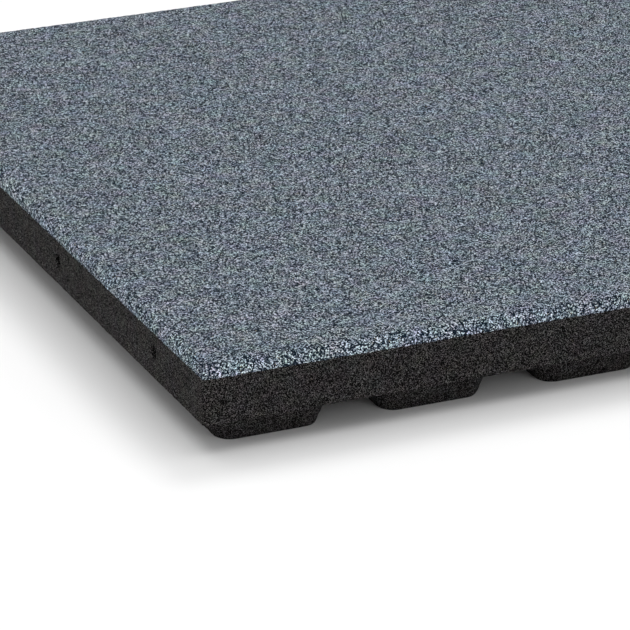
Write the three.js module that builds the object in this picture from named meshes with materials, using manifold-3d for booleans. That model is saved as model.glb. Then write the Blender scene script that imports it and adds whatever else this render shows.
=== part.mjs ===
// Playground safety tile: a square slab of bonded black rubber granulate that
// stands on a grid of moulded feet, under a thinner wear layer of bonded
// blue-grey granulate whose upper edge is rounded all the way round.
//
// Units are millimetres and +Z is up. The origin is on the ground, at the
// middle of the tile, and the feet stand on z = 0. The sides that carry the
// dowel sockets face -X and +X.

import * as THREE from 'three';
import { mergeVertices } from 'three/addons/utils/BufferGeometryUtils.js';
import Module from 'manifold-3d';

const wasm = await Module();
wasm.setup();

// Driving dimensions.

// plan of the tile
const TILE_LENGTH_X = 1000;
const TILE_LENGTH_Y = 1000;
const SIDE_CORNER_RADIUS = 4;

// heights, from the ground up
const FOOT_HEIGHT = 32;
const SLAB_THICKNESS = 46;
const WEAR_THICKNESS = 12;

// rounded upper edge of the wear layer
const EDGE_ROUND_RADIUS = 11.5;
const EDGE_ROUND_SEGMENTS = 6;

// moulded feet: rounded squares that widen upwards
const FEET_PER_ROW = 6;
const FOOT_SOLE_WIDTH = 103;
const FOOT_SOLE_CORNER_RADIUS = 17;
const FOOT_FLANK_SPREAD = 12.7;
const FOOT_ROW_INSET = 79;
const FOOT_CORNER_SEGMENTS = 4;

// dowel sockets in the two sides that face -X and +X
const SOCKET_DIAMETER = 14;
const SOCKET_DEPTH = 55;
const SOCKET_ABOVE_SLAB_UNDERSIDE = 25;
const OUTER_SOCKET_END_DISTANCE = 125;
const INNER_SOCKET_END_DISTANCE = 383;
const SOCKET_FACETS = 16;

// how far a tool or a root reaches past the face that it crosses
const OVERRUN = 2;

// Levels that follow from them.

const SLAB_UNDERSIDE_Z = FOOT_HEIGHT;
const SLAB_TOP_Z = SLAB_UNDERSIDE_Z + SLAB_THICKNESS;
const SOCKET_AXIS_Z = SLAB_UNDERSIDE_Z + SOCKET_ABOVE_SLAB_UNDERSIDE;

// Solids.

// Turns a closed three.js geometry, placed by a matrix, into a solid.
function solidOf(geometry, matrix = new THREE.Matrix4()) {
  const placed = geometry.clone().applyMatrix4(matrix);
  placed.deleteAttribute('normal');
  placed.deleteAttribute('uv');
  const welded = mergeVertices(placed, 1e-4);
  return new wasm.Manifold(new wasm.Mesh({
    numProp: 3,
    vertProperties: new Float32Array(welded.attributes.position.array),
    triVerts: new Uint32Array(welded.index.array),
  }));
}

// Turns a solid back into a geometry with flat facets.
function geometryOf(solid) {
  const mesh = solid.getMesh();
  const indexed = new THREE.BufferGeometry();
  indexed.setAttribute('position', new THREE.BufferAttribute(new Float32Array(mesh.vertProperties), 3));
  indexed.setIndex(new THREE.BufferAttribute(new Uint32Array(mesh.triVerts), 1));
  const faceted = indexed.toNonIndexed();
  faceted.computeVertexNormals();
  return faceted;
}

// Rectangle about the origin with rounded corners.
function roundedRectangle(width, depth, radius) {
  const x = width / 2;
  const y = depth / 2;
  const shape = new THREE.Shape();
  shape.moveTo(x, y - radius);
  shape.absarc(x - radius, y - radius, radius, 0, Math.PI / 2, false);
  shape.lineTo(-x + radius, y);
  shape.absarc(-x + radius, y - radius, radius, Math.PI / 2, Math.PI, false);
  shape.lineTo(-x, -y + radius);
  shape.absarc(-x + radius, -y + radius, radius, Math.PI, 1.5 * Math.PI, false);
  shape.lineTo(x - radius, -y);
  shape.absarc(x - radius, -y + radius, radius, 1.5 * Math.PI, 2 * Math.PI, false);
  return shape;
}

// Upright prism of the tile's plan between two levels.
function planPrism(bottomZ, height) {
  const plan = roundedRectangle(TILE_LENGTH_X, TILE_LENGTH_Y, SIDE_CORNER_RADIUS);
  const prism = new THREE.ExtrudeGeometry(plan, { depth: height, bevelEnabled: false, curveSegments: 3 });
  return solidOf(prism, new THREE.Matrix4().makeTranslation(0, 0, bottomZ));
}

// One foot: its sole lies on the ground and its flanks lean outwards up to
// the slab's underside. Its root goes on inside the slab.
function footSolid(x, y) {
  const sole = roundedRectangle(FOOT_SOLE_WIDTH, FOOT_SOLE_WIDTH, FOOT_SOLE_CORNER_RADIUS);
  const flared = new THREE.ExtrudeGeometry(sole, {
    depth: OVERRUN,
    bevelEnabled: true,
    bevelThickness: FOOT_HEIGHT,
    bevelSize: FOOT_FLANK_SPREAD,
    bevelSegments: 1,
    curveSegments: FOOT_CORNER_SEGMENTS,
  });
  const foot = solidOf(flared, new THREE.Matrix4().makeTranslation(x, y, FOOT_HEIGHT));
  return foot.intersect(footEnvelope());
}

// Everything from the ground up to just inside the slab.
function footEnvelope() {
  const height = FOOT_HEIGHT + OVERRUN;
  const block = new THREE.BoxGeometry(TILE_LENGTH_X, TILE_LENGTH_Y, height);
  return solidOf(block, new THREE.Matrix4().makeTranslation(0, 0, height / 2));
}

// Places of the feet's centres along one side, the same distance in from both
// ends and evenly spaced between them.
function footCentres(length) {
  const first = -length / 2 + FOOT_ROW_INSET;
  const pitch = (length - 2 * FOOT_ROW_INSET) / (FEET_PER_ROW - 1);
  return Array.from({ length: FEET_PER_ROW }, (_, i) => first + i * pitch);
}

// Places of the sockets along a side: an outer and an inner pair, each pair
// the same distance in from the two ends.
function socketCentres() {
  const outer = TILE_LENGTH_Y / 2 - OUTER_SOCKET_END_DISTANCE;
  const inner = TILE_LENGTH_Y / 2 - INNER_SOCKET_END_DISTANCE;
  return [-outer, -inner, inner, outer];
}

// Round tool that cuts one blind dowel socket into the side at direction
// -1 (-X) or +1 (+X).
function socketTool(direction, y) {
  const length = SOCKET_DEPTH + OVERRUN;
  const tool = new THREE.CylinderGeometry(SOCKET_DIAMETER / 2, SOCKET_DIAMETER / 2, length, SOCKET_FACETS);
  const middle = direction * (TILE_LENGTH_X / 2 + OVERRUN - length / 2);
  const place = new THREE.Matrix4().makeTranslation(middle, y, SOCKET_AXIS_Z);
  return solidOf(tool, place.multiply(new THREE.Matrix4().makeRotationZ(Math.PI / 2)));
}

// Pieces.

// Black base: the slab, its feet and the dowel sockets in two of its sides,
// moulded in one.
function baseMatGeometry() {
  let base = planPrism(SLAB_UNDERSIDE_Z, SLAB_THICKNESS);
  for (const x of footCentres(TILE_LENGTH_X)) {
    for (const y of footCentres(TILE_LENGTH_Y)) {
      base = base.add(footSolid(x, y));
    }
  }
  for (const y of socketCentres()) {
    base = base.subtract(socketTool(-1, y));
    base = base.subtract(socketTool(1, y));
  }
  return geometryOf(base);
}

// Blue-grey wear layer, as wide as the base, with its upper edge rounded. The
// same rounding lies mirrored under the layer and is cut off at its underside.
function wearLayerGeometry() {
  const lid = new THREE.Shape();
  const x = TILE_LENGTH_X / 2 - EDGE_ROUND_RADIUS;
  const y = TILE_LENGTH_Y / 2 - EDGE_ROUND_RADIUS;
  lid.moveTo(x, y);
  lid.lineTo(-x, y);
  lid.lineTo(-x, -y);
  lid.lineTo(x, -y);
  lid.closePath();
  const straight = WEAR_THICKNESS - EDGE_ROUND_RADIUS;
  const rounded = new THREE.ExtrudeGeometry(lid, {
    depth: OVERRUN + straight,
    bevelEnabled: true,
    bevelThickness: EDGE_ROUND_RADIUS,
    bevelSize: EDGE_ROUND_RADIUS,
    bevelSegments: EDGE_ROUND_SEGMENTS,
  });
  const blank = solidOf(rounded, new THREE.Matrix4().makeTranslation(0, 0, SLAB_TOP_Z - OVERRUN));
  return geometryOf(blank.intersect(planPrism(SLAB_TOP_Z, WEAR_THICKNESS + OVERRUN)));
}

// Finishes.

const blackRubber = new THREE.MeshStandardMaterial({ color: 0x2c2b2a, roughness: 0.9, metalness: 0 });
const blueGreyGranulate = new THREE.MeshStandardMaterial({ color: 0x6b737c, roughness: 0.85, metalness: 0 });

// The tile.

const group = new THREE.Group();

const baseMat = new THREE.Mesh(baseMatGeometry(), blackRubber);
baseMat.name = 'base_mat';
group.add(baseMat);

const wearLayer = new THREE.Mesh(wearLayerGeometry(), blueGreyGranulate);
wearLayer.name = 'wear_layer';
group.add(wearLayer);

export default group;
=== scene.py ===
"""Playground safety tile: bonded rubber granulate slab on moulded feet, with a
blue-grey wear layer whose upper edge is rounded."""

import math

import bpy
import numpy as np
from bpy.props import FloatProperty, FloatVectorProperty, IntProperty, PointerProperty
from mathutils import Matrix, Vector


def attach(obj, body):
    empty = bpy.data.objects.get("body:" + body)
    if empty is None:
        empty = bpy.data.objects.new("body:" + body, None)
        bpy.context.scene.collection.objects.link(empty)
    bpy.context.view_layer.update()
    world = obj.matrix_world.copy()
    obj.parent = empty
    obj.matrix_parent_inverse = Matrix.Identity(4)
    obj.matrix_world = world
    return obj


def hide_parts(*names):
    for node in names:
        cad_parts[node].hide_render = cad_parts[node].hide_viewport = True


bl_info = {
    "name": "Playground safety tile",
    "version": (1, 0, 0),
    "blender": (4, 5, 0),
    "location": "View3D > Sidebar > Safety tile",
    "description": "Builds a rubber playground tile with its granulate finish",
    "category": "Add Mesh",
}

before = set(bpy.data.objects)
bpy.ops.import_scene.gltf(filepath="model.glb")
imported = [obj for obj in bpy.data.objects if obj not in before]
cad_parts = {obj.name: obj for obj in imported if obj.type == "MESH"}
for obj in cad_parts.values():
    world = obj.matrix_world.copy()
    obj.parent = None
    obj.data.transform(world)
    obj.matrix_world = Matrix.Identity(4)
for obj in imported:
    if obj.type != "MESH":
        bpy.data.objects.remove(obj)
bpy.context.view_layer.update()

MM = 0.001

# Sizes of the moulding, in millimetres. The slab's underside is 0.7 mm lower and
# the soles 0.3 mm wider a side than in the solids, to meet the photo's edges.
HALF_SIDE = 500.0
SIDE_CORNER_RADIUS = 4.0
FOOT_HEIGHT = 32.0
SLAB_UNDERSIDE = 31.3
SLAB_EDGE_RADIUS = 0.6
SLAB_TOP = 78.0
TILE_TOP = 90.0
EDGE_ROUND_RADIUS = 11.5
FEET_PER_ROW = 6
FOOT_ROW_INSET = 79.0
FOOT_SOLE_HALF = 51.8
FOOT_SOLE_RADIUS = 17.0
FOOT_FLANK_SPREAD = 12.7
SOCKET_HEIGHT = 57.0
SOCKET_RADIUS = 7.0
SOCKET_DEPTH = 55.0
SOCKET_PLACES = (-375.0, -117.0, 117.0, 375.0)

# Mesh fineness, in millimetres and in steps.
RIM_STEP = 2.0
RIM_ROUND_STEPS = 9
RIM_FIELD_WIDTH = 22.0
RIM_FIELD_STEP = 2.2
SIDE_STEP = 2.4
FOOT_STEP = 5.0
FOOT_FLANK_STEP = 3.4
SLAB_ROUND_STEPS = 4
UNDERSIDE_INSETS = (9.0, 3.0)
SOLE_INSETS = (40.0, 28.0, 18.0, 10.0, 5.0)
SOCKET_RING_DEPTHS = (0.8, 2.5, 6.0, 12.0, 22.0, 34.0, 46.0)
CORNER_STEPS = 4
FOOT_CORNER_STEPS = 8
SOCKET_PATCH_HALF = 9.6
SOCKET_PATCH_CELLS = 8

# Size of the grains that stand out of the edges, in millimetres, how ragged
# the wear layer's lower lip is, and the seeds of the grain beds.
RELIEF_GRAIN = 2.4
LIP_RAGGEDNESS = 0.9
RIM_SEED = 11
LIP_SEED = 5
BASE_SEED = 3


# Grain relief in the geometry.


def cell_noise(cells, seed):
    """Three repeatable random numbers from 0 to 1 for each integer cell."""
    c = cells.astype(np.int64).astype(np.uint64)
    # large numbers that scatter neighbouring cells
    mixed = c[..., 0] * np.uint64(73856093)
    mixed ^= c[..., 1] * np.uint64(19349663)
    mixed ^= c[..., 2] * np.uint64(83492791)
    mixed ^= np.uint64(seed * 2654435761)
    out = []
    for _ in range(3):
        mixed ^= mixed >> np.uint64(33)
        mixed *= np.uint64(0xFF51AFD7ED558CCD)
        mixed ^= mixed >> np.uint64(29)
        out.append((mixed & np.uint64(0xFFFFFF)).astype(float) / float(0xFFFFFF))
    return np.stack(out, axis=-1)


def grain_height(points, grain, seed):
    """Height from -1 to 1 of a bed of rounded grains of that size at each point."""
    scaled = points / grain
    base = np.floor(scaled)
    # further off than any grain of the neighbouring cells
    nearest = np.full(len(points), 9.0)
    level = np.zeros(len(points))
    for dx in (-1, 0, 1):
        for dy in (-1, 0, 1):
            for dz in (-1, 0, 1):
                cell = base + (dx, dy, dz)
                # the shift keeps the cell numbers positive
                rnd = cell_noise(cell + 4096, seed)
                away = np.linalg.norm(cell + rnd - scaled, axis=1)
                closer = away < nearest
                nearest = np.where(closer, away, nearest)
                level = np.where(closer, rnd[:, 0] * 2 - 1, level)
    dome = 1 - 2 * np.clip(nearest, 0, 1)
    return 0.55 * level + 0.45 * dome


# Outlines and skins.


def spread(start, end, step):
    """Evenly spaced values from start to end, no further apart than step."""
    return list(np.linspace(start, end, max(2, int(math.ceil(abs(end - start) / step)) + 1)))


def joined(*runs):
    """Runs of rising values joined without repeating the shared ones."""
    out = list(runs[0])
    for run in runs[1:]:
        out += list(run[1:])
    return out


def square_outline(side_values, half, corner_radius, corner_steps):
    """Points and outward normals round a rounded square, anticlockwise from the
    front side. side_values run from -1 to 1 along each straight side."""
    straight = half - corner_radius
    points, normals = [], []
    for turn in range(4):
        angle = turn * math.pi / 2
        ca, sa = math.cos(angle), math.sin(angle)
        local, facing = [], []
        for v in side_values:
            local.append((v * straight, -half))
            facing.append((0.0, -1.0))
        for k in range(1, corner_steps):
            a = -math.pi / 2 + k * math.pi / 2 / corner_steps
            local.append((straight + corner_radius * math.cos(a), -straight + corner_radius * math.sin(a)))
            facing.append((math.cos(a), math.sin(a)))
        for (x, y), (nx, ny) in zip(local, facing):
            points.append((x * ca - y * sa, x * sa + y * ca))
            normals.append((nx * ca - ny * sa, nx * sa + ny * ca))
    return np.array(points), np.array(normals)


class Skin:
    """Collects rings of points, joins neighbouring rings with quads and keeps
    the outward direction of every point for the grain relief."""

    def __init__(self):
        self.points = []
        self.normals = []
        self.faces = []

    def add_points(self, points, normals):
        first = sum(len(p) for p in self.points)
        self.points.append(np.asarray(points, float))
        self.normals.append(np.asarray(normals, float))
        return first + np.arange(len(points))

    def bridge(self, lower, upper, keep=None):
        n = len(lower)
        for i in range(n):
            if keep is not None and not keep(i):
                continue
            j = (i + 1) % n
            self.faces.append((lower[i], lower[j], upper[j], upper[i]))

    def relief(self, height, grain, seed, share=None):
        """Moves every point along its own normal by the grain bed's height."""
        pts, nrm = np.vstack(self.points), np.vstack(self.normals)
        move = grain_height(pts, grain, seed) * height
        if share is not None:
            move = move * share(pts)
        self.points, self.normals = [pts + nrm * move[:, None]], [nrm]

    def make(self, name, material):
        mesh = bpy.data.meshes.new(name)
        pts = np.vstack(self.points) * MM
        mesh.from_pydata(pts.tolist(), [], [tuple(int(i) for i in f) for f in self.faces])
        mesh.update()
        mesh.polygons.foreach_set("use_smooth", [True] * len(mesh.polygons))
        mesh.materials.append(material)
        obj = bpy.data.objects.new(name, mesh)
        bpy.context.scene.collection.objects.link(obj)
        return obj


def ring_3d(outline, normals, z, tilt):
    """A ring at height z whose normals lean up by tilt radians."""
    pts = np.column_stack([outline, np.full(len(outline), z)])
    flat = normals * math.cos(tilt)
    return pts, np.column_stack([flat, np.full(len(outline), math.sin(tilt))])


# Wear layer.


def wear_layer_skin(tile):
    """Rim of small facets round the layer, with one flat field inside it."""
    skin = Skin()
    side = spread(-1.0, 1.0, RIM_STEP / HALF_SIDE)
    # the layer's lower edge tucks in behind its ragged lip
    profile = [(0.6, SLAB_TOP - 1.2, 0.0), (0.0, SLAB_TOP - 0.3, 0.0)]
    straight_top = TILE_TOP - EDGE_ROUND_RADIUS
    for k in range(RIM_ROUND_STEPS + 1):
        a = k * math.pi / 2 / RIM_ROUND_STEPS
        inset = EDGE_ROUND_RADIUS * (1 - math.cos(a))
        profile.append((inset, straight_top + EDGE_ROUND_RADIUS * math.sin(a), a))
    for inset in spread(EDGE_ROUND_RADIUS, EDGE_ROUND_RADIUS + RIM_FIELD_WIDTH, RIM_FIELD_STEP)[1:]:
        profile.append((inset, TILE_TOP, math.pi / 2))
    rings = []
    for inset, z, tilt in profile:
        outline, normals = square_outline(side, HALF_SIDE - inset, SIDE_CORNER_RADIUS, CORNER_STEPS)
        rings.append(skin.add_points(*ring_3d(outline, normals, z, tilt)))
    for lower, upper in zip(rings, rings[1:]):
        skin.bridge(lower, upper)
    skin.faces.append(tuple(rings[-1]))
    skin.faces.append(tuple(rings[0][::-1]))

    def share(pts):
        """The relief fades out over 10 mm before the flat field."""
        inset = HALF_SIDE - np.abs(pts[:, :2]).max(axis=1)
        return np.clip((EDGE_ROUND_RADIUS + RIM_FIELD_WIDTH - 1.0 - inset) / 10.0, 0.0, 1.0)

    skin.relief(tile.rim_relief / MM, RELIEF_GRAIN, RIM_SEED, share)
    ragged = grain_height(skin.points[0] + 50.0, RELIEF_GRAIN, LIP_SEED)
    lip = np.zeros(len(ragged), bool)
    lip[rings[1]] = True
    skin.points[0][lip, 2] += ragged[lip] * LIP_RAGGEDNESS
    return skin


# Base.


def slab_skin(tile):
    """Side skin of the slab with its dowel sockets, closed above and below."""
    skin = Skin()
    straight = HALF_SIDE - SIDE_CORNER_RADIUS
    runs, last = [], -straight
    for place in SOCKET_PLACES:
        runs.append(spread(last, place - SOCKET_PATCH_HALF, SIDE_STEP))
        end = place + SOCKET_PATCH_HALF
        runs.append(list(np.linspace(place - SOCKET_PATCH_HALF, end, SOCKET_PATCH_CELLS + 1)))
        last = end
    runs.append(spread(last, straight, SIDE_STEP))
    side = joined(*runs)
    side_values = [v / straight for v in side]
    patch_low, patch_high = SOCKET_HEIGHT - SOCKET_PATCH_HALF, SOCKET_HEIGHT + SOCKET_PATCH_HALF
    edge = SLAB_EDGE_RADIUS
    levels = joined(
        spread(SLAB_UNDERSIDE + edge, patch_low, SIDE_STEP),
        list(np.linspace(patch_low, patch_high, SOCKET_PATCH_CELLS + 1)),
        spread(patch_high, SLAB_TOP - 0.4, SIDE_STEP),
    )
    profile = [(inset, SLAB_UNDERSIDE, -math.pi / 2) for inset in UNDERSIDE_INSETS]
    for k in range(SLAB_ROUND_STEPS):
        a = -math.pi / 2 + k * math.pi / 2 / SLAB_ROUND_STEPS
        profile.append((edge * (1 - math.cos(a)), SLAB_UNDERSIDE + edge + edge * math.sin(a), a))
    profile += [(0.0, z, 0.0) for z in levels]
    # the upper edge tucks in under the wear layer
    profile += [(0.9, SLAB_TOP + 0.5, 0.0)]
    rings = []
    for inset, z, tilt in profile:
        outline, normals = square_outline(side_values, HALF_SIDE - inset, SIDE_CORNER_RADIUS, CORNER_STEPS)
        rings.append(skin.add_points(*ring_3d(outline, normals, z, tilt)))
    per_turn = len(rings[0]) // 4
    low_row = profile.index((0.0, patch_low, 0.0))
    patches = []
    for turn in (1, 3):
        for place in SOCKET_PLACES:
            start = int(np.argmin([abs(v - (place - SOCKET_PATCH_HALF)) for v in side]))
            patches.append((turn, start))

    def outside_patch(row):
        if not low_row <= row < low_row + SOCKET_PATCH_CELLS:
            return None
        held = {turn * per_turn + start + k for turn, start in patches for k in range(SOCKET_PATCH_CELLS)}
        return lambda i: i not in held

    for row, (lower, upper) in enumerate(zip(rings, rings[1:])):
        skin.bridge(lower, upper, outside_patch(row))
    skin.faces.append(tuple(rings[-1]))
    skin.faces.append(tuple(rings[0][::-1]))
    points = np.vstack(skin.points)
    for turn, start in patches:
        col = turn * per_turn + start
        n = SOCKET_PATCH_CELLS
        frame_ids = [rings[low_row][col + k] for k in range(n)]
        frame_ids += [rings[low_row + k][col + n] for k in range(n)]
        frame_ids += [rings[low_row + n][col + n - k] for k in range(n)]
        frame_ids += [rings[low_row + n - k][col] for k in range(n)]
        add_socket(skin, points, frame_ids)
    skin.relief(tile.side_relief / MM, RELIEF_GRAIN, BASE_SEED)
    return skin


def add_socket(skin, points, frame_ids):
    """Closes one square gap in the side with a round mouth and a blind bore."""
    square = points[frame_ids]
    middle = square.mean(axis=0)
    out = np.array([math.copysign(1.0, middle[0]), 0.0, 0.0])
    arm = square - middle
    unit = arm / np.linalg.norm(arm, axis=1)[:, None]
    steps = [(SOCKET_RADIUS + 1.6, 0.0, out), (SOCKET_RADIUS + 0.5, 0.15, out)]
    steps += [(SOCKET_RADIUS, depth, None) for depth in SOCKET_RING_DEPTHS]
    # the blind end is slightly narrower
    steps += [(SOCKET_RADIUS - 0.4, SOCKET_DEPTH, None)]
    last = frame_ids
    for radius, depth, facing in steps:
        pts = middle + unit * radius - out * depth
        normals = np.tile(out, (len(pts), 1)) if facing is not None else -unit
        ids = skin.add_points(pts, normals)
        skin.bridge(last, ids)
        last = ids
    skin.faces.append(tuple(last))


def feet_skin(tile):
    """All the feet: flared flanks, a softly rounded sole edge and a flat sole."""
    skin = Skin()
    pitch = 2 * (HALF_SIDE - FOOT_ROW_INSET) / (FEET_PER_ROW - 1)
    side = spread(-1.0, 1.0, FOOT_STEP / (FOOT_SOLE_HALF - FOOT_SOLE_RADIUS))
    lean = math.atan2(FOOT_FLANK_SPREAD, FOOT_HEIGHT)
    root = 2.0
    profile = []
    for inset in SOLE_INSETS:
        profile.append((-inset, 0.0, -math.pi / 2))
    # the sole's softly rounded edge: reach, height and tilt
    profile += [(-0.6, 0.05, -1.25), (0.0, 0.5, -0.8)]
    for z in spread(2.4, FOOT_HEIGHT, FOOT_FLANK_STEP):
        profile.append((FOOT_FLANK_SPREAD * z / FOOT_HEIGHT, z, -lean))
    profile.append((FOOT_FLANK_SPREAD + root, FOOT_HEIGHT + root, -lean))
    first = -HALF_SIDE + FOOT_ROW_INSET
    for ix in range(FEET_PER_ROW):
        for iy in range(FEET_PER_ROW):
            centre = np.array([first + ix * pitch, first + iy * pitch])
            rings = []
            for out, z, tilt in profile:
                radius = max(FOOT_SOLE_RADIUS + out, 3.0)
                outline, normals = square_outline(side, FOOT_SOLE_HALF + out, radius, FOOT_CORNER_STEPS)
                rings.append(skin.add_points(*ring_3d(outline + centre, normals, z, tilt)))
            for lower, upper in zip(rings, rings[1:]):
                skin.bridge(lower, upper)
            skin.faces.append(tuple(rings[0][::-1]))
            skin.faces.append(tuple(rings[-1]))

    def share(pts):
        """The soles stay flat."""
        return np.where(pts[:, 2] < 0.1, 0.0, 1.0)

    skin.relief(tile.side_relief / MM, RELIEF_GRAIN, BASE_SEED, share)
    return skin


# Materials.

# Width of the patches of slightly different hue, in metres, and the waver of
# the grains' outlines: waves to a grain, and their full swing as a share of it.
MOTTLE_SIZE = 0.02
WAVER_SCALE = 1.6
WAVER_SHARE = 0.55


def linear(hex_colour):
    """sRGB hex to linear RGBA."""
    rgb = [int(hex_colour[i:i + 2], 16) / 255 for i in (1, 3, 5)]
    return [c / 12.92 if c <= 0.04045 else ((c + 0.055) / 1.055) ** 2.4 for c in rgb] + [1.0]


def shaded(tint, shade):
    """A tint under a shade, as RGBA."""
    return [a * b for a, b in zip(tint, shade)] + [1.0]


def add(tree, kind, inputs=None, **settings):
    """Adds a node with its settings, values and links."""
    n = tree.nodes.new(kind)
    for key, value in settings.items():
        setattr(n, key, value)
    for key, value in (inputs or {}).items():
        if isinstance(value, bpy.types.NodeSocket):
            tree.links.new(value, n.inputs[key])
        else:
            n.inputs[key].default_value = value
    return n


def ramp(tree, factor, stops):
    """Colour ramp with the given (position, colour) stops."""
    n = add(tree, "ShaderNodeValToRGB", {"Fac": factor})
    marks = n.color_ramp.elements
    while len(marks) < len(stops):
        marks.new(0.5)
    for mark, (at, colour) in zip(marks, stops):
        mark.position = at
        mark.color = colour
    return n.outputs["Color"]


def granulate(
    name, grain, tones, tints, gap, speck, roughness, specular, bump_depth, gap_width, painted_edge_light, mottle
):
    """Bonded rubber granulate: close-packed grains of slightly different tone
    with dark gaps between them, each grain standing at its own height. Where the
    surface leans away from level its grains are painted paler, by up to the gain
    given: painted light on the rounded edge.
    Patches many grains wide lean to other hues by the share mottle."""
    material = bpy.data.materials.new(name)
    material.use_nodes = True
    tree = material.node_tree
    tree.nodes.clear()
    place = add(tree, "ShaderNodeTexCoord").outputs["Object"]
    # the grains' outlines waver by up to about a quarter of their size each way
    wobble = add(tree, "ShaderNodeTexNoise", {"Vector": place, "Scale": WAVER_SCALE / grain, "Detail": 1.0})
    bent = add(
        tree, "ShaderNodeVectorMath", {0: wobble.outputs["Color"], 1: (0.5, 0.5, 0.5)}, operation="SUBTRACT"
    )
    shift = add(
        tree, "ShaderNodeVectorMath", {0: bent.outputs[0], "Scale": grain * WAVER_SHARE}, operation="SCALE"
    )
    moved = add(tree, "ShaderNodeVectorMath", {0: place, 1: shift.outputs[0]}, operation="ADD").outputs[0]
    cells = add(tree, "ShaderNodeTexVoronoi", {"Vector": moved, "Scale": 1.0 / grain})
    edges = add(
        tree, "ShaderNodeTexVoronoi", {"Vector": moved, "Scale": 1.0 / grain}, feature="DISTANCE_TO_EDGE"
    )
    draw = add(tree, "ShaderNodeSeparateColor", {"Color": cells.outputs["Color"]})
    body = add(
        tree,
        "ShaderNodeMapRange",
        {"Value": edges.outputs["Distance"], "From Min": 0.0, "From Max": gap_width},
        interpolation_type="SMOOTHSTEP",
    ).outputs["Result"]
    tone = ramp(tree, draw.outputs["Red"], tones)
    rare = add(
        tree, "ShaderNodeMath", {0: draw.outputs["Green"], 1: 1.0 - speck[0]}, operation="GREATER_THAN"
    ).outputs[0]
    tint = add(
        tree, "ShaderNodeMix", {"Factor": draw.outputs["Blue"], 6: tints[0], 7: tints[1]}, data_type="RGBA"
    ).outputs[2]
    tinted = add(
        tree, "ShaderNodeMix", {"Factor": 1.0, 6: tone, 7: tint}, data_type="RGBA", blend_type="MULTIPLY"
    ).outputs[2]
    patch = add(tree, "ShaderNodeTexNoise", {"Vector": place, "Scale": 1.0 / MOTTLE_SIZE, "Detail": 3.0})
    hue = add(
        tree,
        "ShaderNodeVectorMath",
        {0: patch.outputs["Color"], 1: [mottle] * 3, 2: [1.0 - mottle / 2] * 3},
        operation="MULTIPLY_ADD",
    ).outputs[0]
    mottled = add(tree, "ShaderNodeVectorMath", {0: tinted, 1: hue}, operation="MULTIPLY").outputs[0]
    # painted light: the colour is made paler where the surface leans from level, standing in for the light
    # that the rounded edge catches
    facing = add(tree, "ShaderNodeNewGeometry").outputs["Normal"]
    up = add(tree, "ShaderNodeSeparateXYZ", {"Vector": facing})
    gain = add(
        tree,
        "ShaderNodeMapRange",
        {"Value": up.outputs["Z"], "From Min": 0.6, "From Max": 1.0, "To Min": painted_edge_light, "To Max": 1.0},
    ).outputs["Result"]
    painted_edge_lit = add(tree, "ShaderNodeVectorMath", {0: mottled, "Scale": gain}, operation="SCALE").outputs[0]
    spotted = add(
        tree, "ShaderNodeMix", {"Factor": rare, 6: painted_edge_lit, 7: speck[1]}, data_type="RGBA"
    ).outputs[2]
    colour = add(tree, "ShaderNodeMix", {"Factor": body, 6: gap, 7: spotted}, data_type="RGBA").outputs[2]
    lift = add(
        tree, "ShaderNodeMath", {0: draw.outputs["Blue"], 1: 0.5, 2: 0.5}, operation="MULTIPLY_ADD"
    ).outputs[0]
    height = add(tree, "ShaderNodeMath", {0: body, 1: lift}, operation="MULTIPLY").outputs[0]
    bump = add(tree, "ShaderNodeBump", {"Height": height, "Distance": bump_depth, "Strength": 1.0})
    surface = add(
        tree,
        "ShaderNodeBsdfPrincipled",
        {
            "Base Color": colour,
            "Normal": bump.outputs["Normal"],
            "Roughness": roughness,
            "Specular IOR Level": specular,
            "IOR": 1.5,
        },
    )
    add(tree, "ShaderNodeOutputMaterial", {"Surface": surface.outputs[0]})
    return material


def wear_granulate(tile):
    """Pressed, polyurethane-bonded EPDM granulate, coloured through: matt
    grains from mid to pale blue-grey with near-black gaps between them."""
    tones = [
        (0.0, linear("#03101c")),
        (0.45, linear("#1f2a37")),
        (0.68, linear("#828f9d")),
        (1.0, linear("#e5f1fd")),
    ]
    return granulate(
        "pressed_epdm_granulate_blue_grey",
        tile.wear_grain,
        tones,
        [shaded((0.99, 0.955, 0.985), tile.wear_shade), shaded((0.945, 0.985, 0.94), tile.wear_shade)],
        linear("#04080c"),
        (0.004, linear("#8e8878")),
        roughness=0.85,
        specular=0.05,
        bump_depth=0.001,
        gap_width=0.06,
        # painted light: grains on the rounded edge are painted up to 1.28 times as pale
        painted_edge_light=1.28,
        mottle=0.36,
    )


def base_granulate(tile):
    """Pressed, polyurethane-bonded recycled tyre crumb: matt black to charcoal
    grains with a faint brown cast, which glint a little where they are cut."""
    tones = [
        (0.0, linear("#010101")),
        (0.45, linear("#0e0d0d")),
        (0.68, linear("#333232")),
        (1.0, linear("#7e7c7c")),
    ]
    return granulate(
        "pressed_tyre_crumb_black",
        tile.base_grain,
        tones,
        [shaded((1.0, 0.95, 0.99), tile.base_shade), shaded((0.96, 0.99, 0.95), tile.base_shade)],
        linear("#020202"),
        (0.003, linear("#665f54")),
        roughness=0.85,
        specular=0.03,
        bump_depth=0.0006,
        gap_width=0.06,
        painted_edge_light=1.0,
        mottle=0.25,
    )


def base_material(tile):
    """The base's granulate, made once and shared by the slab and the feet."""
    found = bpy.data.materials.get("pressed_tyre_crumb_black")
    return found or base_granulate(tile)


# Properties, operators and panel.


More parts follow.
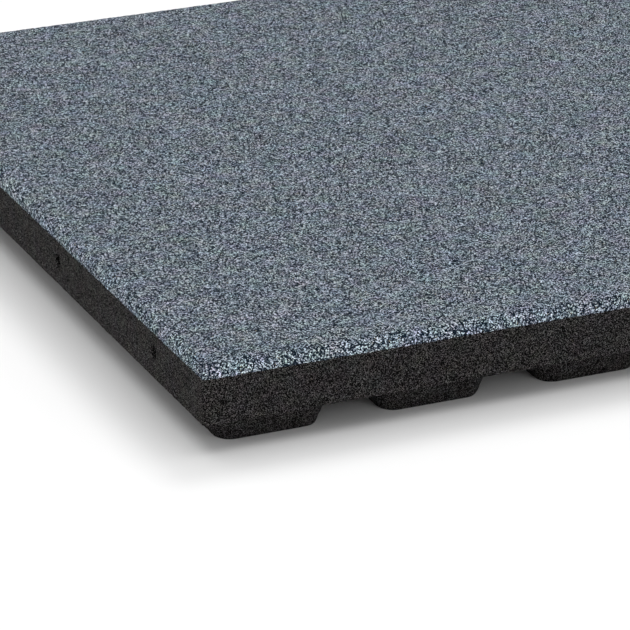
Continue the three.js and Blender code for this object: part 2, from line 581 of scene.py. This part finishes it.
class TileSettings(bpy.types.PropertyGroup):
    """Sizes and light that a user of the tile would change. The grain sizes are
    those at which the speckle matches the photo's."""

    wear_grain: FloatProperty(
        name="Wear grain", description="Grain size of the wear layer", default=0.0012, unit="LENGTH"
    )
    wear_shade: FloatVectorProperty(
        name="Wear shade",
        description="Shade laid over the wear layer's grains",
        subtype="COLOR",
        default=(1, 1, 1),
    )
    base_shade: FloatVectorProperty(
        name="Base shade",
        description="Shade laid over the base's grains",
        subtype="COLOR",
        default=(1, 1, 1),
    )
    base_grain: FloatProperty(
        name="Base grain", description="Grain size of the black base", default=0.00065, unit="LENGTH"
    )
    rim_relief: FloatProperty(
        name="Rim relief",
        description="Height of the grains along the rounded edge",
        default=0.00035,
        unit="LENGTH",
    )
    side_relief: FloatProperty(
        name="Side relief",
        description="Height of the grains on the black sides",
        default=0.00035,
        unit="LENGTH",
    )
    fill_strength: FloatProperty(name="Fill light", description="Strength of the even light", default=0.62)
    panel_power: FloatProperty(
        name="Overhead panel", description="Power of the overhead light panel in watts", default=708.0
    )
    panel_width: FloatProperty(
        name="Panel width", description="Side of the square light panel", default=14.0, unit="LENGTH"
    )
    front_power: FloatProperty(
        name="Front panel", description="Power of the low front panel in watts", default=45.0
    )
    key_strength: FloatProperty(name="Key light", description="Strength of the key light", default=0.65)
    key_elevation: FloatProperty(
        name="Key elevation",
        description="Height of the key light above the floor",
        default=math.radians(48),
        subtype="ANGLE",
    )
    key_softness: FloatProperty(
        name="Key softness",
        description="Angle that the key light covers",
        default=math.radians(20),
        subtype="ANGLE",
    )
    floor_colour: FloatVectorProperty(
        name="Floor colour",
        description="Colour of the studio floor",
        subtype="COLOR",
        default=(0.86, 0.86, 0.86),
    )
    floor_width: IntProperty(
        name="Floor width", description="Width of the studio floor in metres", default=24
    )


class TILE_OT_wear_layer(bpy.types.Operator):
    """Builds the blue-grey wear layer with its rounded, grainy edge"""

    bl_idname = "safety_tile.wear_layer"
    bl_label = "Wear layer"

    def execute(self, context):
        tile = context.scene.safety_tile
        piece = wear_layer_skin(tile).make("wear_granulate", wear_granulate(tile))
        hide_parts("wear_layer")
        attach(piece, "root")
        return {"FINISHED"}


class TILE_OT_slab(bpy.types.Operator):
    """Builds the black slab with its dowel sockets"""

    bl_idname = "safety_tile.slab"
    bl_label = "Slab"

    def execute(self, context):
        tile = context.scene.safety_tile
        piece = slab_skin(tile).make("base_slab", base_material(tile))
        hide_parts("base_mat")
        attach(piece, "root")
        return {"FINISHED"}


class TILE_OT_feet(bpy.types.Operator):
    """Builds the moulded feet under the slab"""

    bl_idname = "safety_tile.feet"
    bl_label = "Feet"

    def execute(self, context):
        tile = context.scene.safety_tile
        piece = feet_skin(tile).make("base_feet", base_material(tile))
        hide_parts("base_mat")
        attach(piece, "root")
        return {"FINISHED"}


class TILE_OT_stage(bpy.types.Operator):
    """Sets up the pale floor, the soft studio light and the camera"""

    bl_idname = "safety_tile.stage"
    bl_label = "Stage"

    def execute(self, context):
        scene = context.scene
        tile = scene.safety_tile
        make_floor(tile)
        make_lights(scene, tile)
        make_camera(scene)
        scene.view_settings.view_transform = "Standard"
        return {"FINISHED"}


def make_floor(tile):
    """A pale matt floor that the tile stands on."""
    reach = tile.floor_width / 2
    mesh = bpy.data.meshes.new("studio_floor")
    corners = [(-reach, -reach, 0), (reach, -reach, 0), (reach, reach, 0), (-reach, reach, 0)]
    mesh.from_pydata(corners, [], [(0, 1, 2, 3)])
    material = bpy.data.materials.new("studio_paper_white")
    material.use_nodes = True
    shader = material.node_tree.nodes["Principled BSDF"]
    shader.inputs["Base Color"].default_value = (*tile.floor_colour, 1)
    shader.inputs["Roughness"].default_value = 1.0
    shader.inputs["Specular IOR Level"].default_value = 0.0
    mesh.materials.append(material)
    floor = bpy.data.objects.new("studio_floor", mesh)
    bpy.context.scene.collection.objects.link(floor)


# Places of the lights in metres, the key light's turn from +X and the width of
# the front panel in metres.
PANEL_PLACE = (1.2, 0.9, 10.0)
KEY_AZIMUTH = math.radians(45)
FRONT_PLACE = (2.0, -6.0, 2.2)
FRONT_WIDTH = 3.0


def make_lights(scene, tile):
    """An even white surround, a wide panel overhead, a weak low panel at the front
    right and a soft key light from behind the tile, a little to the right."""
    world = bpy.data.worlds.new("studio_surround")
    world.use_nodes = True
    surround = world.node_tree.nodes["Background"]
    surround.inputs["Color"].default_value = (1, 1, 1, 1)
    surround.inputs["Strength"].default_value = tile.fill_strength
    scene.world = world
    panel = bpy.data.lights.new("overhead_panel", "AREA")
    panel.shape = "SQUARE"
    panel.size = tile.panel_width
    panel.energy = tile.panel_power
    overhead = bpy.data.objects.new("overhead_panel", panel)
    overhead.location = PANEL_PLACE
    scene.collection.objects.link(overhead)
    low = bpy.data.lights.new("front_panel", "AREA")
    low.shape = "SQUARE"
    low.size = FRONT_WIDTH
    low.energy = tile.front_power
    front = bpy.data.objects.new("front_panel", low)
    front.location = FRONT_PLACE
    front.rotation_euler = Vector(FRONT_PLACE).to_track_quat("Z", "Y").to_euler()
    scene.collection.objects.link(front)
    lamp = bpy.data.lights.new("key_light", "SUN")
    lamp.energy = tile.key_strength
    lamp.angle = tile.key_softness
    key = bpy.data.objects.new("key_light", lamp)
    key.rotation_euler = (0.0, math.pi / 2 - tile.key_elevation, KEY_AZIMUTH)
    scene.collection.objects.link(key)


# Camera of the photograph: focal length in pixels of a 630-pixel-wide image,
# place in metres, turn to the right of +Y and tilt below the horizon.
FOCAL_PIXELS = 4075.0
IMAGE_WIDTH_PIXELS = 630.0
SENSOR_MM = 36.0
CAMERA_PLACE = (-1.7886, -3.6861, 1.5611)
CAMERA_YAW = math.radians(23.7335)
CAMERA_PITCH = math.radians(22.4308)


def make_camera(scene):
    lens = bpy.data.cameras.new("photo_camera")
    lens.sensor_width = SENSOR_MM
    lens.lens = FOCAL_PIXELS / IMAGE_WIDTH_PIXELS * SENSOR_MM
    lens.clip_start, lens.clip_end = 0.1, 100.0
    camera = bpy.data.objects.new("photo_camera", lens)
    camera.location = CAMERA_PLACE
    camera.rotation_euler = (math.pi / 2 - CAMERA_PITCH, 0.0, -CAMERA_YAW)
    scene.collection.objects.link(camera)
    scene.camera = camera


class TILE_PT_panel(bpy.types.Panel):
    """Lists the tile's pieces"""

    bl_idname = "TILE_PT_panel"
    bl_label = "Safety tile"
    bl_space_type = "VIEW_3D"
    bl_region_type = "UI"
    bl_category = "Safety tile"

    def draw(self, context):
        for operator in OPERATORS:
            self.layout.operator(operator.bl_idname)
        tile = context.scene.safety_tile
        for key in TileSettings.__annotations__:
            self.layout.prop(tile, key)


OPERATORS = (TILE_OT_wear_layer, TILE_OT_slab, TILE_OT_feet, TILE_OT_stage)
CLASSES = (TileSettings, *OPERATORS, TILE_PT_panel)


def register():
    for cls in CLASSES:
        bpy.utils.register_class(cls)
    bpy.types.Scene.safety_tile = PointerProperty(type=TileSettings)


def unregister():
    del bpy.types.Scene.safety_tile
    for cls in reversed(CLASSES):
        bpy.utils.unregister_class(cls)


def main():
    register()
    bpy.ops.safety_tile.wear_layer()
    bpy.ops.safety_tile.slab()
    bpy.ops.safety_tile.feet()
    bpy.ops.safety_tile.stage()


if __name__ == "__main__":
    main()
